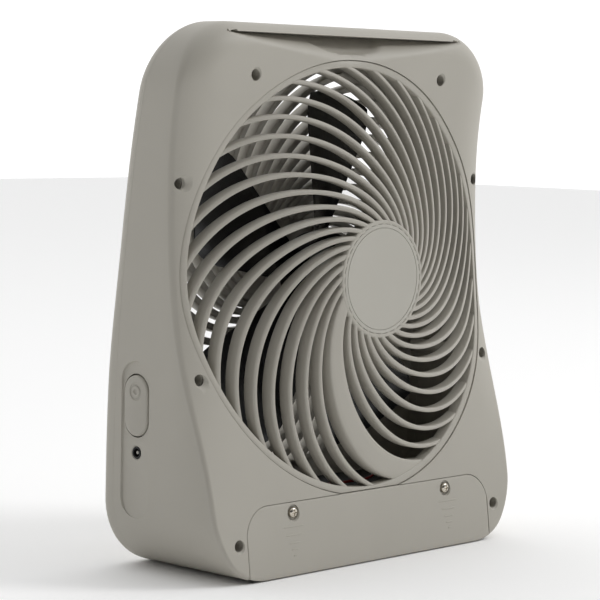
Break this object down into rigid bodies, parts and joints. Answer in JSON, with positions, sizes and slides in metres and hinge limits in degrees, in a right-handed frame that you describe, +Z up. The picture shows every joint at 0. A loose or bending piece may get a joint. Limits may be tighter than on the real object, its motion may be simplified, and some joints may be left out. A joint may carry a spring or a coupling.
{
  "type": "box fan",
  "caption": "Tabletop box fan: rounded slab casing with concave face, domed swirl grille, round hub cap, bladed rotor, side rocker switch and power inlet, front battery door.",
  "frame": {"origin": "centre of the base, on the surface the fan stands on", "axes": "+Z up, the grille faces -Y, +X to the right seen from in front, so the switch is on the -X side"},
  "size_m": [0.298, 0.11, 0.356],
  "materials": {
    "light_grey_abs": "fine satin texture",
    "hub_cap_abs": "smooth satin",
    "rocker_abs": "smooth satin",
    "zinc_screws": "zinc plated",
    "nickel_screws": "nickel plated",
    "black_plastic": "moulded matte",
    "cell_jacket": "plain foil jacket",
    "nickel_spring": "nickel plated",
    "motor_steel": "drawn and plated",
    "ferrite": "ground ceramic magnet",
    "lamination_steel": "stacked plates",
    "copper_winding": "enamelled wire",
    "carbon": "pressed carbon",
    "shaft_steel": "ground",
    "bronze": "sintered",
    "rubber_black": "matte",
    "black_gloss_blade": "gloss",
    "brass_tabs": "stamped",
    "board_green": "fibre board with lacquer",
    "resistor_ceramic": "fired ceramic",
    "wire_red": "soft sleeve",
    "wire_black": "soft sleeve",
    "rubber_grey": "matte"
  },
  "bodies": {
    "housing": {"front_housing": "light_grey_abs", "rear_housing": "light_grey_abs", "front_grille": "light_grey_abs", "rear_grille": "light_grey_abs", "hub_cap": "hub_cap_abs", "housing_screws": "zinc_screws", "battery_tray": "black_plastic", "battery_cells": "cell_jacket", "battery_springs": "nickel_spring", "contact_plates": "nickel_spring", "motor_can": "motor_steel", "motor_end_bell": "black_plastic", "motor_screws": "zinc_screws", "motor_magnets": "ferrite", "motor_brushes": "carbon", "front_bushing": "bronze", "rear_bushing": "bronze", "motor_isolator": "rubber_black", "switch_body": "black_plastic", "switch_terminals": "brass_tabs", "jack_body": "black_plastic", "jack_pin": "brass_tabs", "jack_board": "board_green", "speed_resistor": "resistor_ceramic", "lead_red": "wire_red", "lead_black": "wire_black", "rubber_feet": "rubber_grey"},
    "rotor": {"fan_blade": "black_gloss_blade", "blade_retainer": "shaft_steel", "motor_shaft": "shaft_steel", "armature_core": "lamination_steel", "armature_windings": "copper_winding", "commutator": "copper_winding"},
    "door": {"battery_door": "light_grey_abs", "door_screws": "nickel_screws", "door_screw_retainers": "black_plastic"},
    "rocker": {"rocker_cap": "rocker_abs"}
  },
  "joints": [
    {"name": "rotor_spin", "type": "hinge", "parent": "housing", "child": "rotor", "pos_m": [0, 0, 0.1893], "axis": [0, 1, 0], "continuous": true},
    {"name": "door_slide", "type": "slide", "parent": "housing", "child": "door", "axis": [0, -1, 0], "range_m": [0, 0.06]},
    {"name": "rocker_tilt", "type": "hinge", "parent": "housing", "child": "rocker", "pos_m": [-0.144, 0.0222, 0.1088], "axis": [0, 1, 0], "range_deg": [-4, 4]}
  ]
}
